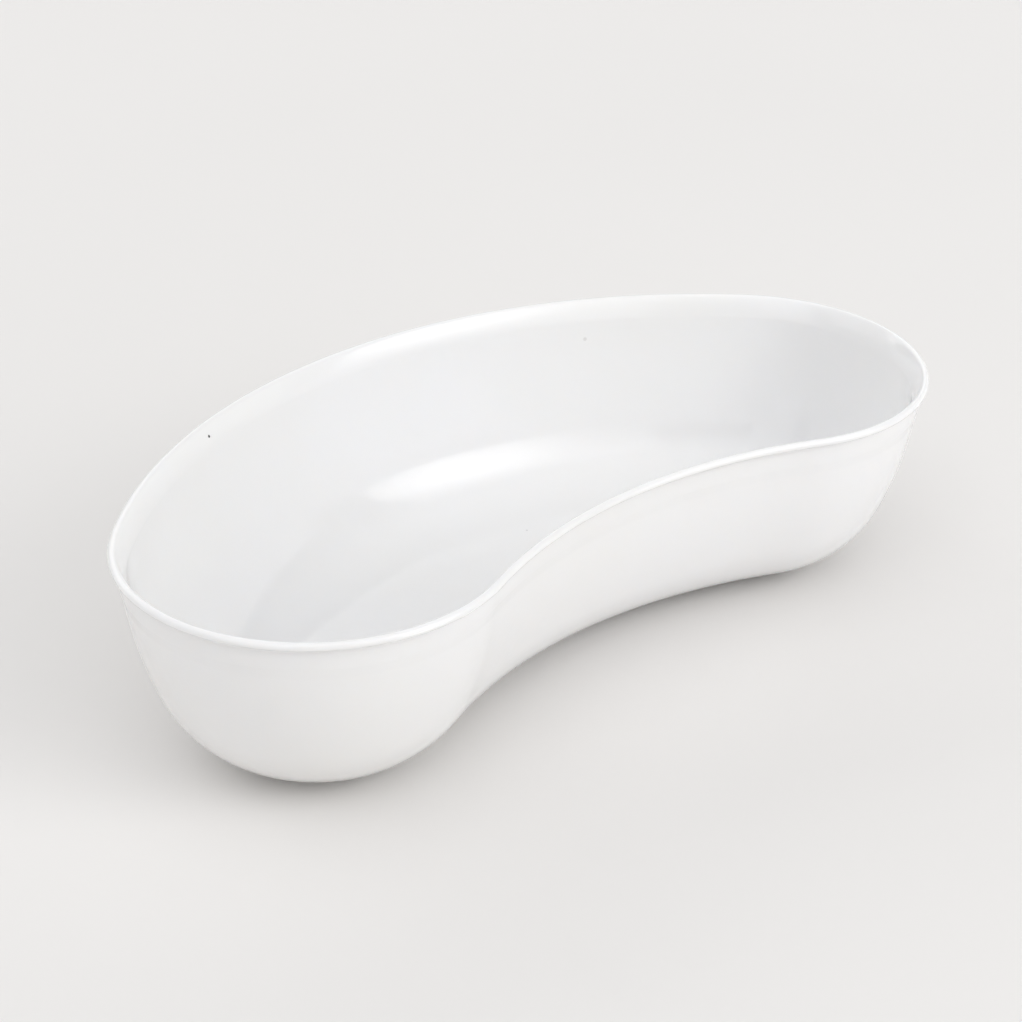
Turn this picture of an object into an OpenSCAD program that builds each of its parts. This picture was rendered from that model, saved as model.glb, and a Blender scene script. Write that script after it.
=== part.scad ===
// Kidney dish: a one-piece moulded ward basin, bean-shaped in plan, with a slim flared rim.
//
// Seen from above, the rim's edge is four arcs that run smoothly into each other: a long
// back arc, an end lobe on each side, and a hollow along the front that fits against a body.
// Wall, corner and rim keep the same half-section all the way round, drawn as distance
// inwards from the rim's edge against height. It is turned about the centre of each arc,
// and a flat plate closes the floor. The origin is on the table under the middle of the
// dish's outer box, and the hollow side faces -Y.

/* [Outline] */
// Overall length over the rim
dish_l = 250; // [225:1:300]
// Radius of each end lobe
end_r = 49.4; // [48:0.1:56]
// How far forward of the lobes' centres the centre of the back arc lies
back_c = 74.97; // [60:0.01:90]
// How far forward of the lobes' centres the centre of the front hollow lies
front_c = 168.3; // [150:0.1:200]

/* [Section] */
// Overall height
dish_h = 57.5; // [54:0.5:62]
// Thickness of the wall and the floor
wall_t = 2; // [1.5:0.1:2.5]
// Distance from the rim's edge in to where the flat base starts
base_in = 40; // [39.5:0.1:42]
// Outer radius of the corner between base and wall
corner_r = 33; // [30:0.5:34]
// How far in from the corner's centre the centre of the bulging side wall lies
side_in = 74.88; // [74.4:0.01:75.2]
// How far above the corner's centre the centre of the bulging side wall lies
side_up = 28.16; // [26:0.01:30]

/* [Rim] */
// Width of the round edge of the rim
rim_w = 2.2; // [2:0.1:2.6]
// Height of the narrow neck under the rim, measured from the rim's top
neck_h = 3.4; // [3:0.1:4]
// Depth from the rim's top to where the inside starts to flare out
flare_h = 6; // [5.5:0.1:7]
// Radius of the flare's curve
flare_r = 14; // [12:0.5:16]
// Depth from the rim's top to the lower edge of the thickened band
band_h = 9.2; // [7.5:0.1:12]
// How far the thickened band stands out from the wall
band_t = 0.3; // [0.1:0.1:0.5]

/* [Base] */
// Width of the ring that the dish rests on
rest_w = 3; // [2:0.5:4]
// Depth of the recess inside the ring
recess_h = 0.5; // [0.4:0.1:0.8]
// Radius of the moulding gate's stub in the middle of the recess
gate_r = 2.5; // [1:0.5:4]
// Height of the moulding gate's stub
gate_h = 0.3; // [0.1:0.1:0.4]

/* [Hidden] */
$fn = 180;

// Outline: the lobes' centres are on the outline's own X axis, end_x either side of Y.
end_x = dish_l / 2 - end_r;
back_r = norm([end_x, back_c]) + end_r;
front_r = norm([end_x, front_c]) - end_r;
back_angle = atan2(back_c, end_x);
front_angle = atan2(front_c, end_x);
back_edge = back_r - back_c;
front_edge = front_r - front_c;
middle_y = (back_edge - end_r) / 2;
// How many times the distance to a lobe's centre the sides of an arc's wedge run
reach = 3;

// Section: the side wall and the corner meet where their centres' line crosses both arcs.
side_r = corner_r + norm([side_in, side_up]);
side_centre = [base_in + side_in, corner_r + side_up];
lean = side_up / (side_r - corner_r);
section_in = base_in + rest_w;
neck_z = dish_h - neck_h;

// Rim: the flare is an arc from the wall's inner face up to a point just inside the round
// edge, in this direction from its centre and at this share of its radius.
rim_r = rim_w / 2;
rim_centre = [rim_r, dish_h - rim_r];
flare_up = [cos(30), sin(30)];
flare_share = 0.95;
// How far the flare's cut runs down past the start of its arc
cut_over = 1;

// The floor plate's edge lies inside the rest ring, so its chords never show.
floor_in = base_in + rest_w / 2;
floor_steps = 12;

// How far the gate's stub is sunk into the floor plate
gate_root = 0.5;

// Distance in from the rim's edge to a face of radius r about the side wall's centre
function face_in(r, z) = side_centre[0] - sqrt(r * r - pow(side_centre[1] - z, 2));

// Centre of the circle of radius r through p and q, on the left of the way from p to q
function centre_through(p, q, r) =
    let (half = (q - p) / 2)
    p + half + sqrt(r * r - half * half) * [-half[1], half[0]] / norm(half);

// Points along an arc about centre c, from angle a1 to a2
function arc_points(c, r, a1, a2) =
    [for (i = [0 : floor_steps])
        let (a = a1 + (a2 - a1) * i / floor_steps)
        c + r * [cos(a), sin(a)]];

// Everything on the inner side of the wall's surface, once that surface is moved in by t
module wall_fill(t) {
    knee_z = corner_r - (corner_r - t) * lean;
    intersection() {
        translate(side_centre) circle(r = side_r - t);
        translate([0, knee_z]) square([section_in, dish_h - knee_z]);
    }
    intersection() {
        translate([base_in, corner_r]) circle(r = corner_r - t);
        translate([0, t]) square([base_in, knee_z - t]);
    }
    translate([base_in, t]) square([rest_w, knee_z - t]);
}

// The thickened band that runs round the top of the wall
module band() {
    intersection() {
        translate(side_centre) circle(r = side_r + band_t);
        translate([0, dish_h - band_h]) square([base_in, band_h - neck_h]);
    }
}

// The narrow neck between the band and the round edge
module neck() {
    polygon([
        [face_in(side_r + band_t, neck_z), neck_z],
        [face_in(side_r - wall_t, neck_z), neck_z],
        rim_centre + rim_w * flare_up,
        rim_centre
    ]);
}

// Everything on the inner side of the flare
module flare_fill() {
    start_z = dish_h - flare_h;
    start = [face_in(side_r - wall_t, start_z), start_z];
    end = rim_centre + flare_share * rim_r * flare_up;
    difference() {
        translate([0, start_z - cut_over]) square([base_in, flare_h + cut_over]);
        translate(centre_through(start, end, flare_r)) circle(r = flare_r);
    }
}

// The half-section: X is the distance in from the rim's edge, Y the height
module section() {
    difference() {
        union() {
            intersection() {
                wall_fill(0);
                square([section_in, neck_z]);
            }
            band();
            neck();
        }
        wall_fill(wall_t);
        flare_fill();
    }
    translate(rim_centre) circle(r = rim_r);
}

// The half-section turned right round at radius r, inwards of it or, for the hollow, outwards
module turned(r, inwards) {
    rotate_extrude()
        translate([r, 0])
            mirror([inwards ? 1 : 0, 0])
                section();
}

// What two lines from the point c forward of the lobes, through the lobes' centres, enclose
module between_lobes(c) {
    linear_extrude(dish_h)
        polygon([[0, -c], [reach * end_x, (reach - 1) * c], [-reach * end_x, (reach - 1) * c]]);
}

module back_part() {
    intersection() {
        translate([0, -back_c, 0]) turned(back_r, true);
        between_lobes(back_c);
    }
}

module front_part() {
    intersection() {
        translate([0, -front_c, 0]) turned(front_r, false);
        between_lobes(front_c);
    }
}

// The lobe at the +X end
module lobe() {
    intersection() {
        translate([end_x, 0, 0]) turned(end_r, true);
        linear_extrude(dish_h)
            polygon([
                [end_x, 0],
                [reach * end_x, (reach - 1) * back_c],
                [reach * end_x, -front_c],
                [0, -front_c]
            ]);
    }
}

module floor_plate() {
    translate([0, 0, recess_h])
        linear_extrude(wall_t - recess_h)
            polygon(concat(
                arc_points([0, -back_c], back_r - floor_in, back_angle, 180 - back_angle),
                arc_points([-end_x, 0], end_r - floor_in, 180 - back_angle, 360 - front_angle),
                arc_points([0, -front_c], front_r + floor_in, 180 - front_angle, front_angle),
                arc_points([end_x, 0], end_r - floor_in, front_angle - 180, back_angle)
            ));
}

// The stub of the moulding gate, under the middle of the floor
module gate_stub() {
    translate([0, (back_edge + front_edge) / 2, recess_h - gate_h])
        cylinder(r = gate_r, h = gate_h + gate_root);
}

module dish() {
    color("white")
        translate([0, -middle_y, 0]) {
            back_part();
            front_part();
            lobe();
            mirror([1, 0, 0]) lobe();
            floor_plate();
            gate_stub();
        }
}

dish();
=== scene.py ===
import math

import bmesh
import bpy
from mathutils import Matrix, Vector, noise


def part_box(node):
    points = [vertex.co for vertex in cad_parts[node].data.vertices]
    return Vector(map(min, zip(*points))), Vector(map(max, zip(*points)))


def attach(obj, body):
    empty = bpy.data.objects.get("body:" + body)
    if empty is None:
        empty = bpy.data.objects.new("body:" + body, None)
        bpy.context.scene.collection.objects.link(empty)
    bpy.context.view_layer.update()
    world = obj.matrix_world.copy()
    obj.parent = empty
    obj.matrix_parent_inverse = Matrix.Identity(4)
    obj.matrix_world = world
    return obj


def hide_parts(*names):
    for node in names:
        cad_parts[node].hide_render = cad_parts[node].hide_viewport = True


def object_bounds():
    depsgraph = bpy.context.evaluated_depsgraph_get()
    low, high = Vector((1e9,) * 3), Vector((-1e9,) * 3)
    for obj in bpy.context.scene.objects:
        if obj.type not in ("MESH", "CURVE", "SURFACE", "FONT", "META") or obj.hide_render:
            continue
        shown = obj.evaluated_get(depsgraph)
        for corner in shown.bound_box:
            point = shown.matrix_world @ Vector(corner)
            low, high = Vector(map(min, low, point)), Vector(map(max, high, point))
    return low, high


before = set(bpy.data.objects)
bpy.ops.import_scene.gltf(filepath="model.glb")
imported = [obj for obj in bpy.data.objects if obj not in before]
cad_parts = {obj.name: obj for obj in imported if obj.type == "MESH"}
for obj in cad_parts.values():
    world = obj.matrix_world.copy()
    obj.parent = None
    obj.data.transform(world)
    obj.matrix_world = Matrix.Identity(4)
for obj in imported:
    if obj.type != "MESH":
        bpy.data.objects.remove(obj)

# A moulded kidney dish in glossy white plastic, drawn as one shell round the CAD outline.
#
# The shell is the same solid as the CAD node "dish", rebuilt as an even mesh: a half-section,
# given as distance in from the rim's edge against height, is carried round the four arcs of
# the outline, and a ladder of quads closes the floor inside and underneath. On top of that
# come the small things a moulding has: a slightly uneven rim, a stretch of flash and wavy walls.

CAD_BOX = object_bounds()
MM = 0.001

# Outline, in millimetres, as the CAD has it. The length and height come from the CAD part's box in
# model.glb.
LOW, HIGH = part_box("dish")
DISH_LENGTH = round((HIGH.x - LOW.x) / MM, 1)
DISH_HEIGHT = round(HIGH.z / MM, 1)
END_RADIUS = 49.4
BACK_CENTRE = 74.97
FRONT_CENTRE = 168.3

# Half-section, in millimetres.
WALL = 2.0
BASE_IN = 40.0
CORNER_RADIUS = 33.0
SIDE_IN = 74.88
SIDE_UP = 28.16
RIM_RADIUS = 1.1
RIM_START = math.radians(293)
NECK_HEIGHT = 3.4
FLARE_HEIGHT = 6.0
FLARE_RADIUS = 14.0
FLARE_END = math.radians(30)
BAND_HEIGHT = 9.2
BAND_STEP = 0.3
REST_WIDTH = 3.0
RECESS = 0.5
# How far the floor and the recess run in as part of the section, before the ladders take over.
FLOOR_LAP = 4.0

# The moulding gate's stub under the floor, as (radius, height) from its root to its torn tip.
GATE_STUB = ((0, 1.0), (2.5, 1.0), (2.5, 0.3), (2.4, 0.2), (1.3, 0.2), (1.0, 0.32), (0, 0.28))
GATE_SIDES = 32

# How finely the shell is meshed, in millimetres and radians.
OUTLINE_STEP = 1.8
PROFILE_STEP = 2.2
PROFILE_TURN = math.radians(3)
CREASE_SOFTENING = 0.35
BAND_SOFTENING = 1.3
RUNG_CELLS = 16
ARC_STEP = 0.15
SOFTENING_STEP = 0.08
SHORTEST_END = 0.5

# Unevenness of the moulding, in millimetres: the rim leans and lifts, and the wall waves. The
# loop noises are given as waves round the outline and a seed.
RIM_WOBBLE = 0.22
RIM_LIFT = 0.132
RIM_LEAN_NOISE = (7, 1.3)
RIM_LIFT_NOISE = (8, 6.4)
WALL_WAVE = 0.05
WALL_WAVE_LENGTH = 24.0
WALL_WAVE_STEEPNESS = 1.5

# The one stretch of the rim with flash left on its lower edge: its middle, half its length, its
# depth, how much of it is even, and the coarse and the fine noise in the rest.
FLASH_PLACE = Vector((-76.5, -64.6))
FLASH_REACH = 14.0
FLASH_DEPTH = 0.4
FLASH_EVEN = 0.35
FLASH_COARSE_NOISE = (160, 3.7)
FLASH_FINE_NOISE = (330, 8.1)
FLASH_FINE_SHARE = 0.7

# The plastic: the two whites its mottling runs between, and how rough it is in the gloss's haze,
# in a scratch, and at the worn rest ring and rim.
PLASTIC_WARM = (0.866, 0.862, 0.852, 1)
PLASTIC_COOL = (0.88, 0.88, 0.887, 1)
GLOSS = (0.05, 0.11)
SCRATCH_ROUGHNESS = 0.12
SCRATCH_DEPTH = -0.25
REST_WEAR = 0.3
RIM_WEAR = 0.08

# Noises in the plastic and the floor: scale per metre and detail.
MOTTLE = (14, 3)
HAZE = (60, 4)
SCRATCHES = (90, 2)
SCRATCHED_PATCHES = (22, 1)
PEEL = (260, 2)
CLOUDS = (3, 2)
GRAIN = (40, 2)
SCRATCH_STRETCH = (1, 0.04, 0.2)
SCRATCH_TURN = math.radians(35)

# Specks in the plastic: place and radius in millimetres, and colour.
SPECKS = (
    ((-60.8, 49.2, 54.6), 0.5, (0.03, 0.03, 0.03, 1)),
    ((69.2, 43.4, 46.3), 0.7, (0.74, 0.73, 0.72, 1)),
    ((31.8, 26.6, 2.5), 0.4, (0.7, 0.7, 0.7, 1)),
)

# The mix node's colour sockets, which share their names with its other kinds of socket.
MIX_FIRST = 6
MIX_SECOND = 7
MIX_RESULT = 2

# The camera: where it looks, from which side, and how far off.
AIM = Vector((-4.5, -6.7, 35.5)) * MM
AZIMUTH = math.radians(-42.04)
ELEVATION = math.radians(28.56)
ROLL = math.radians(0.68)
DISTANCE = 616.2 * MM
LENS = 82.18
SENSOR = 36.0

# Softboxes: name, bearing of the middle from +Y towards +X, spread, heights of both edges (all in
# degrees as seen from the dish), radiance at the hot spot and at the edge, and the hot spot's place.
SOFTBOXES = (
    ("key_softbox", 169, 64, 3, 52, 4.5, 0.8, (0.67, 0.5)),
    ("fill_softbox", 252, 38, 3, 45, 0.8, 0.8, (0.5, 0.5)),
    ("side_softbox", 98, 56, 2, 28, 0.6, 0.6, (0.5, 0.5)),
    ("back_softbox", 22, 90, 20, 45, 1.5, 1.5, (0.5, 0.5)),
    ("left_softbox", 315, 60, 10, 45, 0.8, 0.8, (0.5, 0.5)),
)
SOFTBOX_DISTANCE = 1.2

# The studio's bounce light: brightness against height (0 at the horizon, 1 overhead), its tint,
# and the side it comes from more strongly the higher up it is.
SKY = ((0.12, 0.4), (0.25, 0.12), (0.55, 0.12), (0.8, 1.0))
SKY_TINT = (0.985, 0.99, 1.0)
SKY_SIDE = (-0.9, -0.75, 0)
FLOOR_TINT = (0.815, 0.8, 0.785)
FLOOR_DARKER = 0.985
FLOOR_HALF = 4.0


def outline_arcs():
    """The rim's four arcs: centre, radius, start, sweep, and -1 where the dish is outside the circle."""
    end_x = DISH_LENGTH / 2 - END_RADIUS
    back_radius = math.hypot(end_x, BACK_CENTRE) + END_RADIUS
    front_radius = math.hypot(end_x, FRONT_CENTRE) - END_RADIUS
    back_angle = math.atan2(BACK_CENTRE, end_x)
    front_angle = math.atan2(FRONT_CENTRE, end_x)
    shift = (back_radius - BACK_CENTRE - END_RADIUS) / 2
    lobe_sweep = math.pi + back_angle - front_angle
    return [
        ((end_x, -shift), END_RADIUS, front_angle - math.pi, lobe_sweep, 1),
        ((0, -BACK_CENTRE - shift), back_radius, back_angle, math.pi - 2 * back_angle, 1),
        ((-end_x, -shift), END_RADIUS, math.pi - back_angle, lobe_sweep, 1),
        ((0, -FRONT_CENTRE - shift), front_radius, math.pi - front_angle, 2 * front_angle - math.pi, -1),
    ]


def outline_stations():
    """Places all round the rim, counter-clockwise: point, outward direction, distance along."""
    stations = []
    along = 0.0
    for (cx, cy), radius, start, sweep, side in outline_arcs():
        length = radius * abs(sweep)
        count = 2 * round(length / OUTLINE_STEP / 2)
        for i in range(count):
            angle = start + sweep * i / count
            direction = Vector((math.cos(angle), math.sin(angle)))
            point = Vector((cx, cy)) + direction * radius
            stations.append((point, direction * side, along + length * i / count))
        along += length
    return stations, along


def arc(centre, radius, start, end):
    """Points on a circle from one angle to another, both in radians."""
    count = max(2, math.ceil(radius * abs(end - start) / ARC_STEP))
    return [
        (centre[0] + radius * math.cos(start + (end - start) * i / count),
         centre[1] + radius * math.sin(start + (end - start) * i / count))
        for i in range(count + 1)
    ]


def centre_through(p, q, radius):
    """Centre of the circle of this radius through p and q, on the left of the way from p to q."""
    half = ((q[0] - p[0]) / 2, (q[1] - p[1]) / 2)
    reach = math.sqrt(radius ** 2 - half[0] ** 2 - half[1] ** 2) / math.hypot(*half)
    return (p[0] + half[0] - reach * half[1], p[1] + half[1] + reach * half[0])


def section_outline():
    """The half-section from under the floor, round the rim, to the floor inside."""
    side_radius = CORNER_RADIUS + math.hypot(SIDE_IN, SIDE_UP)
    side = (BASE_IN + SIDE_IN, CORNER_RADIUS + SIDE_UP)
    corner = (BASE_IN, CORNER_RADIUS)
    knee = math.pi + math.atan2(SIDE_UP, SIDE_IN)
    neck_z = DISH_HEIGHT - NECK_HEIGHT
    band_z = DISH_HEIGHT - BAND_HEIGHT
    rim = (RIM_RADIUS, DISH_HEIGHT - RIM_RADIUS)

    def side_angle(radius, z):
        return math.pi - math.asin((z - side[1]) / radius)

    band_radius = side_radius + BAND_STEP
    inner_side = side_radius - WALL
    inner_corner = CORNER_RADIUS - WALL
    flare_z = DISH_HEIGHT - FLARE_HEIGHT
    flare_start = (side[0] + inner_side * math.cos(side_angle(inner_side, flare_z)), flare_z)
    flare_end = (rim[0] + RIM_RADIUS * math.cos(FLARE_END), rim[1] + RIM_RADIUS * math.sin(FLARE_END))
    flare = centre_through(flare_start, flare_end, FLARE_RADIUS)

    def flare_angle(point):
        return math.atan2(point[1] - flare[1], point[0] - flare[0])

    ring_edge = BASE_IN + REST_WIDTH
    outer = [(ring_edge + FLOOR_LAP, RECESS), (ring_edge, RECESS), (ring_edge, 0)]
    outer += arc(corner, CORNER_RADIUS, 1.5 * math.pi, knee)
    outer += arc(side, side_radius, knee, side_angle(side_radius, band_z))
    outer += arc(side, band_radius, side_angle(band_radius, band_z), side_angle(band_radius, neck_z))
    edge = arc(rim, RIM_RADIUS, RIM_START, FLARE_END)
    edge += arc(flare, FLARE_RADIUS, flare_angle(flare_end), flare_angle(flare_start))
    inner = arc(side, inner_side, side_angle(inner_side, flare_z), knee)
    inner += arc(corner, inner_corner, knee, 1.5 * math.pi)
    inner += [(BASE_IN + FLOOR_LAP, WALL)]
    return outer + edge + inner


def resampled(points, step):
    """The same line with a point every step, ends kept."""
    out = [points[0]]
    need = step
    for a, b in zip(points, points[1:]):
        length = math.dist(a, b)
        done = 0.0
        while length - done >= need:
            done += need
            t = done / length
            out.append((a[0] + (b[0] - a[0]) * t, a[1] + (b[1] - a[1]) * t))
            need = step
        need -= length - done
    return out


def softened(points):
    """The line with every crease rounded off by averaging over a short stretch each way."""
    line = resampled(points, SOFTENING_STEP)
    band_z = DISH_HEIGHT - BAND_HEIGHT
    out = []
    for i, (_, z) in enumerate(line):
        reach = BAND_SOFTENING if abs(z - band_z) < 2 * BAND_SOFTENING else CREASE_SOFTENING
        span = min(round(reach / SOFTENING_STEP), i, len(line) - 1 - i)
        window = line[i - span:i + span + 1]
        out.append((sum(p[0] for p in window) / len(window), sum(p[1] for p in window) / len(window)))
    return out


def thinned(points):
    """Few points where the line runs straight, more where it turns."""
    def heading(a, b):
        return math.atan2(b[1] - a[1], b[0] - a[0])

    out = [points[0]]
    last_heading = heading(points[0], points[1])
    travelled = 0.0
    for a, b in zip(points, points[1:]):
        travelled += math.dist(a, b)
        turn = abs(math.remainder(heading(a, b) - last_heading, math.tau))
        if travelled >= PROFILE_STEP or turn >= PROFILE_TURN:
            out.append(b)
            last_heading = heading(a, b)
            travelled = 0.0
    if math.dist(out[-1], points[-1]) > SHORTEST_END:
        out.append(points[-1])
    return out


def loop_noise(along, perimeter, waves, seed):
    """Smooth noise that closes on itself once round the outline."""
    angle = math.tau * along / perimeter
    radius = waves / math.tau
    return noise.noise(Vector((radius * math.cos(angle), radius * math.sin(angle), seed)))


def flash(point, along, perimeter, in_d, z):
    """How far the flash left on the rim's lower outer edge stands out here."""
    from_edge = abs(z - (DISH_HEIGHT - 1.6 * RIM_RADIUS))
    patch = 1 - (point - FLASH_PLACE).length / FLASH_REACH
    if in_d > 1.5 * RIM_RADIUS or from_edge > 0.7 * RIM_RADIUS or patch < 0:
        return 0.0
    coarse = loop_noise(along, perimeter, *FLASH_COARSE_NOISE)
    fine = loop_noise(along, perimeter, *FLASH_FINE_NOISE)
    rough = FLASH_EVEN + coarse + FLASH_FINE_SHARE * fine
    return FLASH_DEPTH * min(1.0, 2 * patch) * max(0.0, rough)


def shell_point(station, perimeter, in_d, z):
    """A point of the shell in metres, with the moulding's unevenness on it."""
    point, outward, along = station
    rise = (z / DISH_HEIGHT) ** 2
    lean = RIM_WOBBLE * rise * loop_noise(along, perimeter, *RIM_LEAN_NOISE)
    lift = RIM_LIFT * rise * loop_noise(along, perimeter, *RIM_LIFT_NOISE)
    wave_place = Vector((point.x, point.y, z * WALL_WAVE_STEEPNESS)) / WALL_WAVE_LENGTH
    wave = WALL_WAVE * noise.noise(wave_place)
    place = point + outward * (lean + wave + flash(point, along, perimeter, in_d, z) - in_d)
    return Vector((place.x, place.y, max(0.0, z + lift))) * MM


def ladder(bm, ring, flip):
    """Closes a bean-shaped ring of vertices with rungs from its back edge to its front edge."""
    count = len(ring)
    half = count // 2
    xs = [v.co.x for v in ring]
    right = xs.index(max(xs))
    back = [ring[(right + i) % count] for i in range(half + 1)]
    front = [ring[(right - i) % count] for i in range(half + 1)]
    rungs = []
    for a, b in zip(back[1:-1], front[1:-1]):
        inside = [bm.verts.new(a.co.lerp(b.co, j / RUNG_CELLS)) for j in range(1, RUNG_CELLS)]
        rungs.append([a] + inside + [b])

    def face(*corners):
        bm.faces.new(corners if flip else corners[::-1])

    for one, two in zip(rungs, rungs[1:]):
        for j in range(RUNG_CELLS):
            face(one[j], one[j + 1], two[j + 1], two[j])
    for tip, rung, turned in ((back[0], rungs[0], False), (back[-1], rungs[-1], True)):
        for j in range(RUNG_CELLS):
            if turned:
                face(tip, rung[j], rung[j + 1])
            else:
                face(tip, rung[j + 1], rung[j])


def gate_stub(bm):
    """The stub under the middle of the floor, a closed turned solid with its root in the plastic."""
    middle = sum(centre[1] + radius for centre, radius, _, _, _ in outline_arcs()[1::2]) / 2
    rings = []
    for radius, z in GATE_STUB:
        angles = [math.tau * i / GATE_SIDES for i in range(GATE_SIDES if radius else 1)]
        rings.append([
            bm.verts.new(Vector((radius * math.cos(a), middle + radius * math.sin(a), z)) * MM)
            for a in angles
        ])
    # At both ends the ring is a single point, so a face there has that corner only once.
    for one, two in zip(rings, rings[1:]):
        for i in range(GATE_SIDES):
            j = (i + 1) % GATE_SIDES
            corners = [one[i % len(one)], one[j % len(one)], two[j % len(two)], two[i % len(two)]]
            bm.faces.new(dict.fromkeys(corners))


def make_object(name, bm, material):
    bmesh.ops.recalc_face_normals(bm, faces=bm.faces)
    mesh = bpy.data.meshes.new(name)
    bm.to_mesh(mesh)
    bm.free()
    for face in mesh.polygons:
        face.use_smooth = True
    mesh.materials.append(material)
    obj = bpy.data.objects.new(name, mesh)
    bpy.context.scene.collection.objects.link(obj)
    return obj


def dish_shell(material):
    stations, perimeter = outline_stations()
    profile = thinned(softened(section_outline()))
    bm = bmesh.new()
    rings = []
    for in_d, z in profile:
        rings.append([bm.verts.new(shell_point(s, perimeter, in_d, z)) for s in stations])
    for low, high in zip(rings, rings[1:]):
        for i in range(len(stations)):
            j = (i + 1) % len(stations)
            bm.faces.new((low[i], low[j], high[j], high[i]))
    ladder(bm, rings[0], True)
    ladder(bm, rings[-1], False)
    gate_stub(bm)
    return make_object("dish_shell", bm, material)


def node(tree, kind, **values):
    """A shader node with its settings and unlinked inputs filled in."""
    made = tree.nodes.new(kind)
    for name, value in values.items():
        if hasattr(made, name):
            setattr(made, name, value)
        else:
            made.inputs[name.replace("_", " ")].default_value = value
    return made


def value_range(tree, source, low, high, to_low, to_high):
    """A map of a value from one range to another, ends kept."""
    made = node(tree, "ShaderNodeMapRange")
    for name, value in (("From Min", low), ("From Max", high), ("To Min", to_low), ("To Max", to_high)):
        made.inputs[name].default_value = value
    tree.links.new(source, made.inputs["Value"])
    return made.outputs["Result"]


def noise_value(tree, where, settings, stretch=(1, 1, 1), turn=0.0):
    """Noise in the object's own coordinates, stretched and turned about Z."""
    mapping = node(tree, "ShaderNodeMapping")
    mapping.inputs["Rotation"].default_value = (0, 0, turn)
    mapping.inputs["Scale"].default_value = stretch
    tree.links.new(where, mapping.inputs["Vector"])
    scale, detail = settings
    made = node(tree, "ShaderNodeTexNoise", Scale=scale, Detail=detail)
    tree.links.new(mapping.outputs["Vector"], made.inputs["Vector"])
    return made.outputs["Fac"]


def sum_of(tree, first, *others):
    """The sum of several values, kept between 0 and 1."""
    total = first
    for other in others:
        add = node(tree, "ShaderNodeMath", operation="ADD", use_clamp=True)
        tree.links.new(total, add.inputs[0])
        tree.links.new(other, add.inputs[1])
        total = add.outputs["Value"]
    return total


def product_of(tree, one, two):
    """The product of two values."""
    times = node(tree, "ShaderNodeMath", operation="MULTIPLY")
    tree.links.new(one, times.inputs[0])
    tree.links.new(two, times.inputs[1])
    return times.outputs["Value"]


def mixed_colour(tree, amount, one, two):
    """One colour turning into another; the second is a plain colour."""
    mix = node(tree, "ShaderNodeMix", data_type="RGBA")
    tree.links.new(amount, mix.inputs["Factor"])
    tree.links.new(one, mix.inputs[MIX_FIRST])
    mix.inputs[MIX_SECOND].default_value = two
    return mix.outputs[MIX_RESULT]


def speck(tree, where, place, radius):
    """1 inside a small round speck at this place of the object, 0 outside."""
    away = node(tree, "ShaderNodeVectorMath", operation="DISTANCE")
    tree.links.new(where, away.inputs[0])
    away.inputs[1].default_value = [c * MM for c in place]
    return value_range(tree, away.outputs["Value"], 0.6 * radius * MM, radius * MM, 1, 0)


def white_plastic():
    material = bpy.data.materials.new("white_plastic")
    material.use_nodes = True
    tree = material.node_tree
    link = tree.links.new
    shader = tree.nodes["Principled BSDF"]
    where = node(tree, "ShaderNodeTexCoord").outputs["Object"]
    split = node(tree, "ShaderNodeSeparateXYZ")
    link(where, split.inputs["Vector"])
    height = split.outputs["Z"]

    tint = node(tree, "ShaderNodeValToRGB")
    tint.color_ramp.elements[0].position = 0.3
    tint.color_ramp.elements[0].color = PLASTIC_WARM
    tint.color_ramp.elements[1].position = 0.7
    tint.color_ramp.elements[1].color = PLASTIC_COOL
    link(noise_value(tree, where, MOTTLE), tint.inputs["Fac"])
    colour = tint.outputs["Color"]
    for place, radius, dark in SPECKS:
        colour = mixed_colour(tree, speck(tree, where, place, radius), colour, dark)
    link(colour, shader.inputs["Base Color"])

    haze = value_range(tree, noise_value(tree, where, HAZE), 0.3, 0.7, *GLOSS)
    streaks = noise_value(tree, where, SCRATCHES, SCRATCH_STRETCH, SCRATCH_TURN)
    thin = value_range(tree, streaks, 0.66, 0.72, 0, 1)
    patches = value_range(tree, noise_value(tree, where, SCRATCHED_PATCHES), 0.5, 0.6, 0, 1)
    scratches = product_of(tree, thin, patches)
    scratch_rough = value_range(tree, scratches, 0, 1, 0, SCRATCH_ROUGHNESS)
    rest_wear = value_range(tree, height, 0.2 * MM, 1.2 * MM, REST_WEAR, 0)
    rim_top = CAD_BOX[1][2]
    rim_wear = value_range(tree, height, rim_top - RIM_RADIUS * MM, rim_top, 0, RIM_WEAR)
    link(sum_of(tree, haze, scratch_rough, rest_wear, rim_wear), shader.inputs["Roughness"])

    shader.inputs["IOR"].default_value = 1.52
    shader.inputs["Subsurface Weight"].default_value = 0.15
    shader.inputs["Subsurface Radius"].default_value = (1.0, 0.9, 0.8)
    shader.inputs["Subsurface Scale"].default_value = 0.0015

    peel = noise_value(tree, where, PEEL)
    cuts = value_range(tree, scratches, 0, 1, 0, SCRATCH_DEPTH)
    relief = node(tree, "ShaderNodeMath", operation="ADD")
    link(peel, relief.inputs[0])
    link(cuts, relief.inputs[1])
    bump = node(tree, "ShaderNodeBump", Strength=0.04, Distance=0.0004)
    link(relief.outputs["Value"], bump.inputs["Height"])
    link(bump.outputs["Normal"], shader.inputs["Normal"])
    return material


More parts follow.
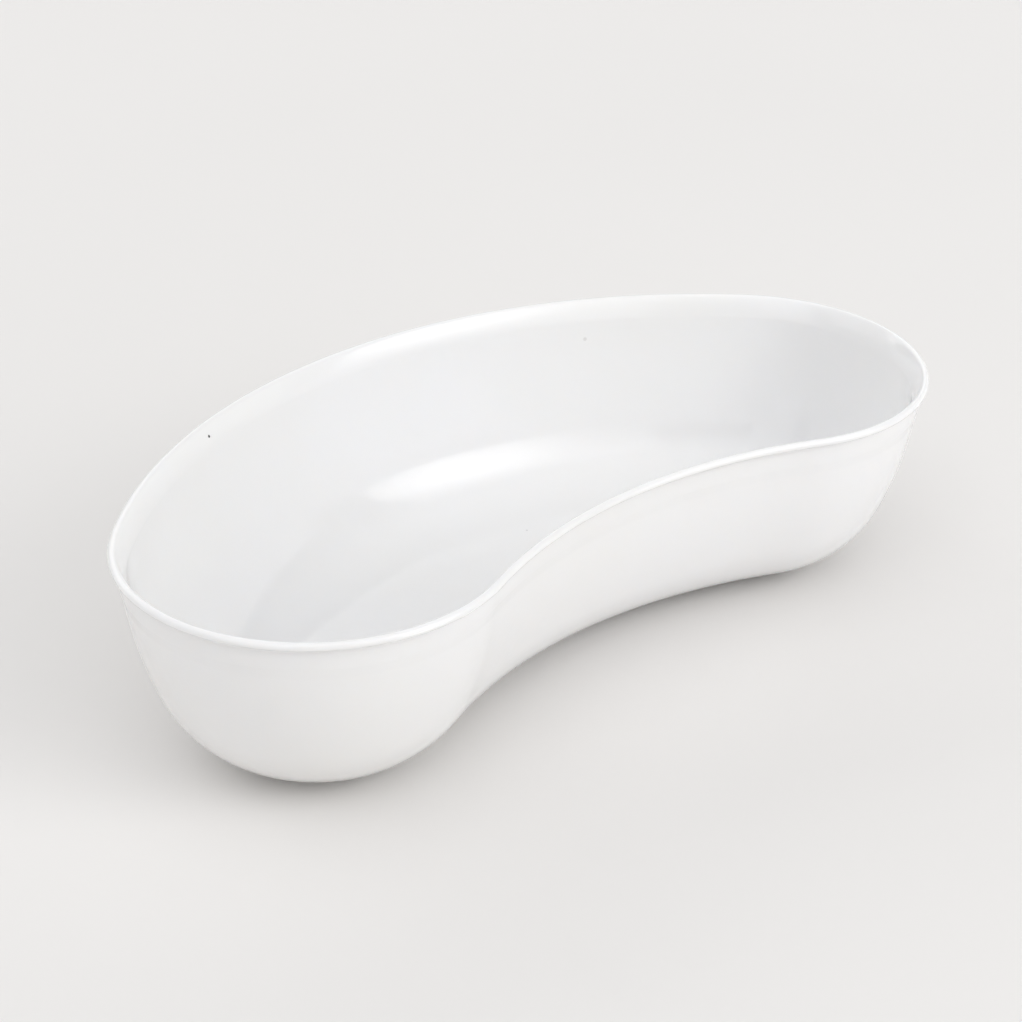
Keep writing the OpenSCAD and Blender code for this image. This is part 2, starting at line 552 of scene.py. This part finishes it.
def floor_paper():
    material = bpy.data.materials.new("floor_paper")
    material.use_nodes = True
    tree = material.node_tree
    shader = tree.nodes["Principled BSDF"]
    where = node(tree, "ShaderNodeTexCoord").outputs["Object"]
    cloud = value_range(tree, noise_value(tree, where, CLOUDS), 0.3, 0.7, 0, 1)
    plain = node(tree, "ShaderNodeRGB")
    plain.outputs["Color"].default_value = (*FLOOR_TINT, 1)
    darker = (*(FLOOR_DARKER * c for c in FLOOR_TINT), 1)
    colour = mixed_colour(tree, cloud, plain.outputs["Color"], darker)
    tree.links.new(colour, shader.inputs["Base Color"])
    rough = value_range(tree, noise_value(tree, where, GRAIN), 0, 1, 0.85, 0.95)
    tree.links.new(rough, shader.inputs["Roughness"])
    shader.inputs["Specular IOR Level"].default_value = 0.1
    return material


def floor():
    bm = bmesh.new()
    corners = ((-1, -1), (1, -1), (1, 1), (-1, 1))
    bm.faces.new([bm.verts.new((x * FLOOR_HALF, y * FLOOR_HALF, 0)) for x, y in corners])
    return make_object("floor", bm, floor_paper())


def compass(degrees):
    """The direction on the floor at this bearing, from +Y towards +X."""
    return Vector((math.sin(math.radians(degrees)), math.cos(math.radians(degrees)), 0))


def softbox(name, bearing, spread, low, high, hot, edge, hot_spot):
    """An upright soft light at a bearing, brightest at its hot spot and fading towards its edges."""
    width = 2 * SOFTBOX_DISTANCE * math.tan(math.radians(spread / 2))
    bottom = SOFTBOX_DISTANCE * math.tan(math.radians(low))
    top = SOFTBOX_DISTANCE * math.tan(math.radians(high))
    lamp = bpy.data.lights.new(name, "AREA")
    lamp.shape = "RECTANGLE"
    lamp.size = width
    lamp.size_y = top - bottom
    lamp.energy = width * (top - bottom) * math.pi
    lamp.use_nodes = True
    tree = lamp.node_tree
    link = tree.links.new
    place = node(tree, "ShaderNodeNewGeometry")
    away = node(tree, "ShaderNodeVectorMath", operation="DISTANCE")
    link(place.outputs["Parametric"], away.inputs[0])
    away.inputs[1].default_value = (*hot_spot, 0)
    fade = node(tree, "ShaderNodeMapRange", interpolation_type="SMOOTHSTEP")
    fade.inputs["From Max"].default_value = 0.5
    fade.inputs["To Min"].default_value = hot
    fade.inputs["To Max"].default_value = edge
    link(away.outputs["Value"], fade.inputs["Value"])
    link(fade.outputs["Result"], tree.nodes["Emission"].inputs["Strength"])
    obj = bpy.data.objects.new(name, lamp)
    facing = compass(bearing)
    obj.location = facing * SOFTBOX_DISTANCE + Vector((0, 0, (top + bottom) / 2))
    obj.rotation_euler = facing.to_track_quat("Z", "Y").to_euler()
    bpy.context.scene.collection.objects.link(obj)


def lights():
    for settings in SOFTBOXES:
        softbox(*settings)
    world = bpy.data.worlds.new("studio")
    bpy.context.scene.world = world
    world.use_nodes = True
    tree = world.node_tree
    link = tree.links.new
    direction = node(tree, "ShaderNodeTexCoord")
    height = node(tree, "ShaderNodeSeparateXYZ")
    link(direction.outputs["Generated"], height.inputs["Vector"])
    ramp = node(tree, "ShaderNodeValToRGB")
    link(height.outputs["Z"], ramp.inputs["Fac"])
    stops = ramp.color_ramp.elements
    while len(stops) < len(SKY):
        stops.new(0.5)
    for stop, (position, brightness) in zip(stops, SKY):
        stop.position = position
        stop.color = (*(brightness * c for c in SKY_TINT), 1)
    link(ramp.outputs["Color"], tree.nodes["Background"].inputs["Color"])
    lean = node(tree, "ShaderNodeVectorMath", operation="DOT_PRODUCT")
    link(direction.outputs["Generated"], lean.inputs[0])
    lean.inputs[1].default_value = SKY_SIDE
    boost = node(tree, "ShaderNodeMath", operation="MULTIPLY_ADD")
    link(lean.outputs["Value"], boost.inputs[0])
    link(height.outputs["Z"], boost.inputs[1])
    boost.inputs[2].default_value = 1.0
    link(boost.outputs["Value"], tree.nodes["Background"].inputs["Strength"])


def camera():
    back = Vector((math.sin(AZIMUTH) * math.cos(ELEVATION),
                   -math.cos(AZIMUTH) * math.cos(ELEVATION),
                   math.sin(ELEVATION)))
    right = Vector((math.cos(AZIMUTH), math.sin(AZIMUTH), 0))
    up = back.cross(right)
    turned_right = right * math.cos(ROLL) + up * math.sin(ROLL)
    turned_up = up * math.cos(ROLL) - right * math.sin(ROLL)
    data = bpy.data.cameras.new("camera")
    data.lens = LENS
    data.sensor_width = SENSOR
    obj = bpy.data.objects.new("camera", data)
    place = Matrix((turned_right, turned_up, back)).transposed().to_4x4()
    place.translation = AIM + back * DISTANCE
    obj.matrix_world = place
    bpy.context.scene.collection.objects.link(obj)
    bpy.context.scene.camera = obj


bpy.context.scene.view_settings.view_transform = "Standard"
camera()
lights()
floor()
shell = dish_shell(white_plastic())
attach(shell, "root")
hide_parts("dish")
